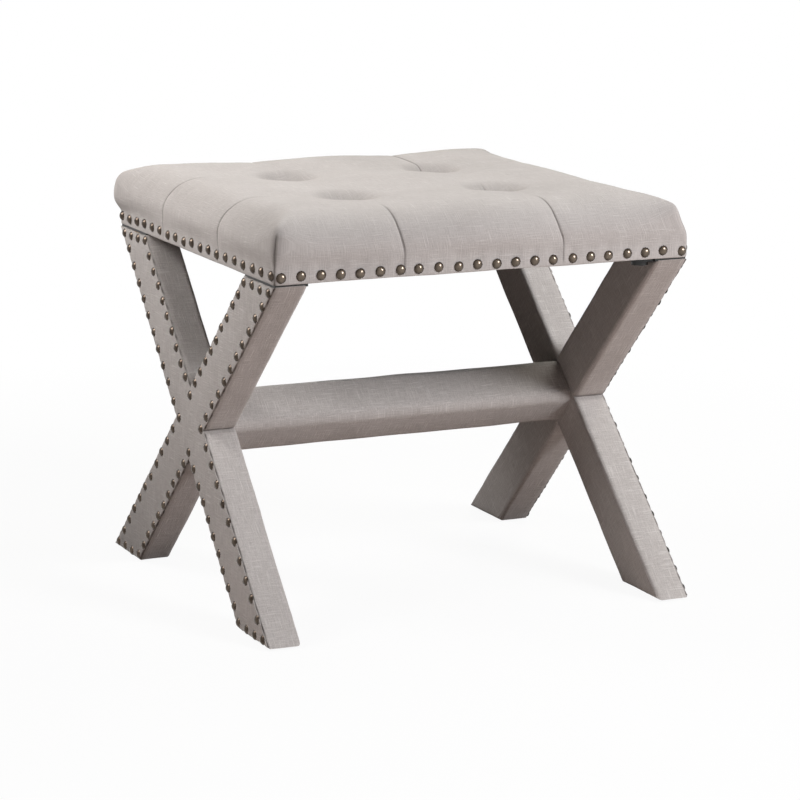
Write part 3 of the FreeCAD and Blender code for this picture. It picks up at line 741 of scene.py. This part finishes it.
def seatLines(half, tuft):  # grid lines along one direction, closer at the pleats and at the corners
    inner = half - pad["evenFrom"]
    lines = list(np.linspace(-inner, inner, round(2 * inner / pad["cell"]) + 1))
    for centre in (-tuft, tuft):
        lines = [x for x in lines if abs(x - centre) > pad["foldGap"]]
        lines += [centre + side * d for side in (-1, 1) for d in pad["foldLines"]] + [centre]
    lines += [side * (half - d) for side in (-1, 1) for d in pad["edgeLines"]]
    return np.array(sorted(lines))


def rollOver(inset, corner):  # how far the roll lies below the top; corner is 1 where it is tightest
    width = pad["shoulder"] + (pad["cornerRoll"] - pad["shoulder"]) * corner
    depth = pad["shoulderFall"] + (pad["cornerFall"] - pad["shoulderFall"]) * corner
    away = np.clip(1 - inset / width, 0, 1)
    n = pad["squareness"]
    return depth * (1 - (1 - away ** n) ** (1 / n))


def clothRun(half):  # distance along the cloth from the middle, against distance in from the side
    inset = half * (1 - np.linspace(0, 1, pad["runSteps"]) ** 0.5)
    fall = rollOver(inset, 0)
    length = np.concatenate([[0], np.cumsum(np.hypot(np.diff(inset), np.diff(fall)))])
    return length, inset


def padTops(share):  # 1 in the middle of a pad, 0 on the lines of tufts; share is 1 at a tuft
    return 1 - np.sin(np.clip(share, 0, 2) * math.pi / 2) ** 2


def tufted(sx, sy):  # how far the cloth is drawn in, over distances along the cloth from the middle
    ax, ay = np.abs(sx), np.abs(sy)
    dx, dy = ax - pad["tuftX"], ay - pad["tuftY"]
    r = np.hypot(dx, dy)
    inside = 1 - r / pad["tuftWidth"]
    funnel = (inside + np.sqrt(inside ** 2 + pad["tuftRound"])) / 2
    sink = pad["tuftDepth"] * funnel + pad["dishDepth"] * bump(r, pad["dishWidth"])
    # painted shade over the far wall of each tuft's hollow, set back behind the tuft
    behindTuft = sy - np.where(sy < 0, -1, 1) * pad["tuftY"] - pad["shadeBack"]
    paintedShade = pad["tuftShade"] * (1 - ease(np.hypot(dx, behindTuft), *pad["shadeReach"]))
    rearRight = (sy > 0) & (sx > 0)
    for across, past, sharp in ((dx, dy, rearRight), (dy, dx, False)):
        out = ease(past, 0, pleat["grows"])
        clear = np.where(sharp, 1.0, ease(past, *pleat["shuts"])) * ease(past, *pleat["opens"])
        sink = sink + pleat["valley"] * bump(across, pleat["valleyWidth"]) * out
        sink = sink + pleat["fold"] * bump(across, pleat["foldWidth"]) * clear
        sink = sink + pleat["saddle"] * bump(across, pleat["saddleWidth"]) * (1 - out)
        # painted shade along each pleat's fold line
        paintedShade = np.maximum(paintedShade, bump(across, pleat["lineWidth"]) * clear)
    behind = np.where(sy < 0, -dy, 0)
    short = ease(behind, *pleat["shortFrom"]) * (1 - ease(behind, *pleat["shortTo"]))
    short = short * np.where(sx > 0, 1.0, pleat["shortLeft"])
    sink = sink + pleat["fold"] * bump(dx, pleat["foldWidth"]) * short
    # painted shade along each short fold
    paintedShade = np.maximum(paintedShade, bump(dx, pleat["lineWidth"]) * short * pleat["shortShade"])
    swollen = padTops(ax / pad["tuftX"]) * padTops(ay / pad["tuftY"])
    swollen = swollen * (1 - pad["flatEnd"] * ease(sx, *pad["flatFrom"]))
    full = bump(np.hypot(sx - pad["fullX"], sy - pad["fullY"]), pad["fullWidth"])
    return sink - pad["padSwell"] * swollen - pad["fullRise"] * full, paintedShade


def seatSheet(nx, ny):  # the top as a grid, then sides, nail band and hem, one row at a time
    seat = startGrid("seat_pad", nx, ny)
    openUp()
    bpy.ops.mesh.region_to_loop()
    for i in range(pad["sideRows"] + len(pad["hemRows"])):
        bpy.ops.mesh.extrude_edges_move(TRANSFORM_OT_translate={"value": (0, 0, -1)})
    closeUp()
    return seat


def seatCloth(seat, topX, topY, alongX, alongY, frontRear):  # over the top both ways, then straight down
    layer = seat.data.uv_layers.new(name="cloth")
    flat = np.empty(len(seat.data.loops) * 2)
    for face in seat.data.polygons:
        facing = np.all(frontRear[list(face.vertices)])
        for loop in face.loop_indices:
            i = seat.data.loops[loop].vertex_index
            flat[loop * 2] = topX[i] if facing else alongX[i]
            flat[loop * 2 + 1] = alongY[i] if facing else topY[i]
    layer.data.foreach_set("uv", flat)


def makeSeat():
    p = pad
    hx, hy = bench["halfLength"], bench["halfDepth"]
    lengthX, insetX = clothRun(hx)
    lengthY, insetY = clothRun(hy)
    linesX, linesY = seatLines(lengthX[-1], p["tuftX"]), seatLines(lengthY[-1], p["tuftY"])
    nx, ny = len(linesX) - 1, len(linesY) - 1
    seat = seatSheet(nx, ny)
    start = places(seat)
    ix = np.rint((start[:, 0] + 1) / 2 * nx).astype(int)
    iy = np.rint((start[:, 1] + 1) / 2 * ny).astype(int)
    row = np.rint(-start[:, 2]).astype(int)
    sx, sy = linesX[ix], linesY[iy]
    signX, signY = np.where(sx < 0, -1, 1), np.where(sy < 0, -1, 1)
    rearRight = (signX > 0) & (signY > 0)
    rearLeft = (signX < 0) & (signY > 0)

    # the top, rolling over into the sides; the corners are lower, squarer and lean in
    inX, inY = np.interp(np.abs(sx), lengthX, insetX), np.interp(np.abs(sy), lengthY, insetY)
    atX, atY = bump(inX, p["cornerReach"]), bump(inY, p["cornerReach"])
    fallX, fallY = rollOver(inX, atY), rollOver(inY, atX)
    cornerDrop = np.where(rearRight, p["rearRightDrop"], p["cornerDrop"])
    fall = (fallX ** p["blend"] + fallY ** p["blend"]) ** (1 / p["blend"]) + cornerDrop * atX * atY
    x, y = signX * (hx - inX), signY * (hy - inY)
    crown = np.clip(1 - (x / hx) ** 2, 0, 1) * np.clip(1 - (y / hy) ** 2, 0, 1)
    z = p["edgeTop"] - fall + p["crown"] * crown

    # the sides, down to the nail band, round the rail's lower edge and in under it
    low = bench["underside"]
    bandTop = low + p["band"]
    hemHeight, hemInset = np.array(p["hemRows"]).T
    upper = row <= p["sideRows"]
    below = np.clip(row - p["sideRows"] - 1, 0, len(hemHeight) - 1)
    z = np.where(upper, z + (bandTop - z) * np.clip(row / p["sideRows"], 0, 1), low + hemHeight[below])
    hemIn = np.where(upper, 0, hemInset[below])
    overBand, overRails = z - bandTop, z - p["railTop"]
    height = overBand / (p["edgeTop"] - bandTop)  # 0 at the band, 1 at the top
    belly = np.sin(np.pi * np.clip(height / p["swellTop"], 0, 1)) * (z > bandTop)
    lowBelly = ease(height, *p["rearLeftFull"]) * (1 - p["rearLeftLoss"] * ease(height, *p["rearLeftFade"]))
    lowBelly = lowBelly * p["rearLeftSwell"] * atX * atY * rearLeft
    swellX = np.where(signX < 0, p["swell"]["left"], p["swell"]["right"]) * belly + lowBelly
    swellY = np.where(signY < 0, p["swell"]["front"], p["swell"]["rear"]) * belly + lowBelly
    onX, onY = (ix == 0) | (ix == nx), (iy == 0) | (iy == ny)
    reach = p["swellReach"]
    x = x + signX * bump(inX, reach) * swellX - signX * hemIn * np.where(onX, 1, np.abs(x) / hx)
    y = y + signY * bump(inY, reach) * swellY - signY * hemIn * np.where(onY, 1, np.abs(y) / hy)

    # corners rounded seen from above, tighter at the band
    radius = p["cornerRound"] * (p["bandRound"] + (1 - p["bandRound"]) * ease(overBand, *p["roundOver"]))
    radius = radius + p["rearRightRound"] * rearRight * ease(overRails, *p["rearRightOver"])
    limitX, limitY = hx + swellX - hemIn, hy + swellY - hemIn
    cx, cy = np.abs(x) - (limitX - radius), np.abs(y) - (limitY - radius)
    inCorner = (cx > 0) & (cy > 0)
    scale = np.where(inCorner, np.maximum(cx, cy) / np.maximum(np.hypot(cx, cy), 1e-9), 1)
    x = np.where(inCorner, signX * (limitX - radius + cx * scale), x)
    y = np.where(inCorner, signY * (limitY - radius + cy * scale), y)
    offCorner = np.abs((limitX - np.abs(x)) - (limitY - np.abs(y))) / math.sqrt(2)
    rising = np.clip(overBand / (p["dartTop"] - bandTop), 0, 1)
    aboveRails = ease(overRails, *p["clearOfRails"])
    frontLean = np.where(signX < 0, p["cornerLean"]["front left"], p["cornerLean"]["front right"])
    rearLean = rearRight * p["cornerLean"]["rear right"] * aboveRails
    lean = np.where(signY < 0, frontLean, rearLean) * rising * atX * atY
    x, y = x - signX * lean, y - signY * lean * p["leanY"]

    # three pleats wander a little on their way down
    isSide = row > 0
    shoulderDown = p["edgeTop"] - p["shoulderFall"] - z
    drop = np.maximum(np.where(upper, shoulderDown, p["bandRun"] + (bandTop - z) + hemIn), 0)
    alongX = np.where(isSide & onX, signX * (lengthX[-1] + drop), sx)
    alongY = np.where(isSide & onY, signY * (lengthY[-1] + drop), sy)
    frontRun = ease(-alongY, p["tuftY"] + pleat["driftFrom"], p["tuftY"] + pleat["driftTo"])
    leftRun = ease(-alongX, p["tuftX"] + pleat["driftFrom"], p["tuftX"] + pleat["driftTo"])
    x = x + pleat["drift"]["front"] * frontRun * bump(sx + p["tuftX"], pleat["driftWidth"])
    y = y + pleat["drift"]["left"] * leftRun * bump(np.abs(sy) - p["tuftY"], pleat["driftWidth"])
    setPlaces(seat, np.stack([x, y, z], axis=-1))
    squareNormals(seat)

    # tufts, pleats and sewn corners, drawn in along the cloth's own normal, but not at the nail band
    sink, paintedShade = tufted(alongX, alongY)
    normals = normalsOf(seat)
    free = ease(overBand, *p["clearOfBand"])
    nearCorner = (inX < p["dartReach"]) & (inY < p["dartReach"])
    dartLine = np.where(nearCorner, bump(offCorner, p["dartLine"]), 0)
    dartLine = dartLine * (1 - ease(z - p["dartTop"], *p["dartFade"]))
    points = places(seat) - normals * (sink * free + dartLine * p["dart"] * free)[:, None]
    offCentre = p["sitsLeft"] * ease(x, -hx, -hx + p["leftReach"]) + p["rightLean"] * ease(x, 0, hx)
    points[:, 0] -= offCentre * rising * aboveRails

    # the band is nipped in under each nail, and the cloth above it puckers
    pinch = ease(overBand, -p["band"], -p["pinchFull"]) * (1 - ease(overBand, 0, p["pinchFade"]))
    heads = np.array([[q.x, q.y] for node in nailNodes if node.startswith("seat") for q in nailSeats(node)])
    away = nearest(points[:, 0], points[:, 1], heads)
    points -= normals * (pinch * bump(away, p["pinchWidth"]) * p["bandPinch"])[:, None]
    setPlaces(seat, points)

    seatCloth(seat, sx, sy, alongX, alongY, onY)
    # painted shade in pleats and tuft hollows, faded at the hem, and along the sewn corners
    setPaintedShade(seat, paintedShade * p["foldShade"] * ease(z - low, 0, p["hemFade"]) + dartLine * p["dartShade"])
    for size, height, seed in p["ripples"]:
        ripple(seat, size, height, seed)
    applyModifier(seat, "SUBSURF", levels=1, render_levels=1)
    smooth(seat, 60)
    finishPiece(seat, linen, "linen", "seat_cover", "seat_foam")
    print(seat.name, len(seat.data.polygons), "faces")


button = {
    "radius": 0.0088, "height": 0.0052, "segments": 20, "rings": 12,
    "sunk": 0.35,  # share of the ball's radius kept below its middle
    "floor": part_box("tuft_buttons")[0].z,
}


def makeButtons():
    rise = button["height"] / (1 + button["sunk"])  # middle of the ball to its crown
    dome = startWith(bpy.ops.mesh.primitive_uv_sphere_add, segments=button["segments"],
                     ring_count=button["rings"], radius=1)
    cutOff(-button["sunk"])
    setPlaces(dome, places(dome) * [button["radius"], button["radius"], rise])
    middle = button["floor"] + rise * button["sunk"]
    moves = [Matrix.Translation((sx * pad["tuftX"], sy * pad["tuftY"], middle))
             for sx in (-1, 1) for sy in (-1, 1)]
    buttons = setCopies("covered_buttons", dome, moves)
    clothMap(buttons, lambda centre, normal: (Vector((1, 0, 0)), Vector((0, 1, 0))))
    smooth(buttons, 50)
    finishPiece(buttons, linen, "linen", "tuft_buttons")
    print(buttons.name, len(moves), "buttons")


dustSheet = {"sag": 0.0025, "cells": 24, "lift": 0.0003, "thick": 0.0005}


def makeDustSheet():
    s = dustSheet
    low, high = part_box("dust_cover")
    size = high - low
    cloth = startGrid("dust_sheet", s["cells"], s["cells"])
    points = places(cloth)
    slack = (1 - points[:, 0] ** 4) * (1 - points[:, 1] ** 4)
    points = points * [size.x / 2, size.y / 2, 0] + [0, 0, low.z + s["lift"]]
    points[:, 2] -= s["sag"] * slack
    setPlaces(cloth, points)
    applyModifier(cloth, "SOLIDIFY", thickness=s["thick"], offset=0)
    smooth(cloth, 40)
    finishPiece(cloth, grainy["blackCambric"], "black_cambric", "dust_cover")
    print(cloth.name, len(cloth.data.polygons), "faces")


# Carried-over CAD nodes

legCorners = [side + "_" + end for side in frameSides for end in ("front", "rear")]
carried = {
    "sawnPoplarAlongX": ["seat_front_rail", "seat_rear_rail", "stretcher_core", "stretcher_dowels",
                         "seat_rail_dowels"],
    "sawnPoplarAlongY": ["seat_left_rail", "seat_right_rail", "left_leg_front_top", "left_leg_rear_top",
                         "right_leg_front_top", "right_leg_rear_top"],
    "birchPlywood": ["seat_deck"],
    "blackSatinPaint": [corner + "_top_plate" for corner in legCorners]
                       + ["seat_bolts", "seat_bolt_washers"],
    "zincPlatedSteel": ["plate_screws", "t_nuts", "stretcher_screws", "tuft_anchors"],
    "waxedTwine": ["tuft_twines"],
    "brownNylon": [corner + "_glide" for corner in legCorners],
}
for finish, names in carried.items():
    for name in names:
        for slot in nodes[name].material_slots:
            slot.material = grainy[finish]
print("CAD nodes finished")

makeNails()
for sideName, side in frameSides.items():
    makeFrameWrap(sideName, side)
    makeFacePanel(sideName, side)
makeStretcher()
makeSeat()
makeButtons()
makeDustSheet()


# Studio

studio = {
    "camera": (-1.3857, -2.9853, 0.8997),
    "azimuth": -25.019, "elevation": 12.000, "roll": 0.411,
    "lens": 134.30, "sensor": 36,
    "lamps": {  # place, size, power, colour, aim, spread in degrees
        "key": ((1.5, -2.1, 1.68), 1.0, 71, "#FDFDFF", (0, 0, 0.3), 180),
        "rear": ((0, 2.4, 2.6), 1.6, 12, "#FFFCF2", (0, 0, 0.3), 180),
        "top": ((1.3, 0.3, 1.9), 1.0, 13, "#FFFCF2", (0, 0, 0.3), 180),
        "left": ((-1.0, 0.35, 1.1), 0.6, 3.8, "#FFFCFA", (-0.2, 0.05, 0.60), 90),
    },
    "fill": 0.02,
    "floorSize": 30,
    "floorFront": "#D2C4BE", "floorRear": "#574D49",  # what the floor throws back on the bench
    "floorTurn": 0.2,  # from one to the other, before and behind the middle
    "floorSeen": "#F4F4F4",
    "floorShow": 0.93, "floorFade": (0.45, 1.3),  # the shadow shows near the bench and fades into white
}


def makeWorld():  # dim light all round, white wherever it is seen or mirrored
    world = bpy.data.worlds.new("softRoom")
    world.use_nodes = True
    tree = world.node_tree
    tree.nodes.clear()
    path = addNode(tree, "LightPath")
    seen = addNode(tree, "Math", {"operation": "MAXIMUM"},
                   {0: path.outputs["Is Camera Ray"], 1: path.outputs["Is Glossy Ray"]})
    seen = addNode(tree, "Math", {"operation": "MAXIMUM"},
                   {0: seen.outputs["Value"], 1: path.outputs["Is Transmission Ray"]})
    dim = addNode(tree, "Background", {"Color": (1, 1, 1, 1), "Strength": studio["fill"]})
    white = addNode(tree, "Background", {"Color": (1, 1, 1, 1), "Strength": 1.0})
    mix = addNode(tree, "MixShader", {},
                  {0: seen.outputs["Value"], 1: dim.outputs[0], 2: white.outputs[0]})
    addNode(tree, "OutputWorld", {}, {"Surface": mix.outputs[0]})
    bpy.context.scene.world = world


def makeFloor():  # white paper: matt near the bench, where it keeps a faint shadow, plain white further off
    s = studio
    floor = startWith(bpy.ops.mesh.primitive_plane_add, size=s["floorSize"])
    floor.name = "floor"
    paper, tree = newMaterial("whitePaper")
    path = addNode(tree, "LightPath")
    where = addNode(tree, "TexCoord")
    away = addNode(tree, "VectorMath", {"operation": "LENGTH"}, {0: where.outputs["Object"]})
    fadeFrom, fadeTo = s["floorFade"]
    near = addNode(tree, "MapRange", {"From Min": fadeFrom, "From Max": fadeTo,
                   "To Min": s["floorShow"]}, {"Value": away.outputs["Value"]})
    shown = addNode(tree, "Math", {"operation": "MULTIPLY"},
                    {0: path.outputs["Is Camera Ray"], 1: near.outputs["Result"]})
    mirrored = addNode(tree, "Math", {"operation": "MAXIMUM"},
                       {0: path.outputs["Is Glossy Ray"], 1: path.outputs["Is Transmission Ray"]})
    share = addNode(tree, "Math", {"operation": "MAXIMUM"},
                    {0: shown.outputs["Value"], 1: mirrored.outputs["Value"]})
    axes = addNode(tree, "SeparateXYZ", {}, {0: where.outputs["Object"]})
    behind = addNode(tree, "MapRange", {"From Min": -s["floorTurn"], "From Max": s["floorTurn"]},
                     {"Value": axes.outputs["Y"]})
    bounce = addNode(tree, "Mix", {"data_type": "RGBA", 6: linear(s["floorFront"]),
                     7: linear(s["floorRear"])}, {0: behind.outputs["Result"]})
    tone = addNode(tree, "Mix", {"data_type": "RGBA", 7: linear(s["floorSeen"])},
                   {0: path.outputs["Is Camera Ray"], 6: bounce.outputs[2]})
    matt = addNode(tree, "BsdfDiffuse", {}, {"Color": tone.outputs[2]})
    glow = addNode(tree, "Emission", {"Color": (1, 1, 1, 1), "Strength": 1.0})
    mix = addNode(tree, "MixShader", {},
                  {0: share.outputs["Value"], 1: matt.outputs[0], 2: glow.outputs[0]})
    addNode(tree, "OutputMaterial", {}, {"Surface": mix.outputs[0]})
    floor.data.materials.append(paper)


def makeLamps():
    for name, (place, size, power, colour, aim, spread) in studio["lamps"].items():
        light = bpy.data.lights.new(name, "AREA")
        light.shape = "SQUARE"
        light.size = size
        light.spread = math.radians(spread)
        light.energy = power
        light.color = linear(colour)[:3]
        lamp = bpy.data.objects.new(name, light)
        lamp.location = place
        lamp.rotation_euler = (Vector(aim) - Vector(place)).to_track_quat("-Z", "Y").to_euler()
        bpy.context.collection.objects.link(lamp)


def makeCamera():
    a, e, r = (math.radians(studio[k]) for k in ("azimuth", "elevation", "roll"))
    back = Vector((math.sin(a) * math.cos(e), -math.cos(a) * math.cos(e), math.sin(e)))
    right = Vector((math.cos(a), math.sin(a), 0))
    up = back.cross(right)
    right, up = right * math.cos(r) + up * math.sin(r), up * math.cos(r) - right * math.sin(r)
    lens = bpy.data.cameras.new("camera")
    lens.lens = studio["lens"]
    lens.sensor_width = studio["sensor"]
    camera = bpy.data.objects.new("camera", lens)
    turn = Matrix((right, up, back)).transposed()
    camera.matrix_world = Matrix.Translation(studio["camera"]) @ turn.to_4x4()
    bpy.context.collection.objects.link(camera)
    bpy.context.scene.camera = camera


makeWorld()
makeFloor()
makeLamps()
makeCamera()
bpy.context.scene.view_settings.view_transform = "Standard"
print("studio set")
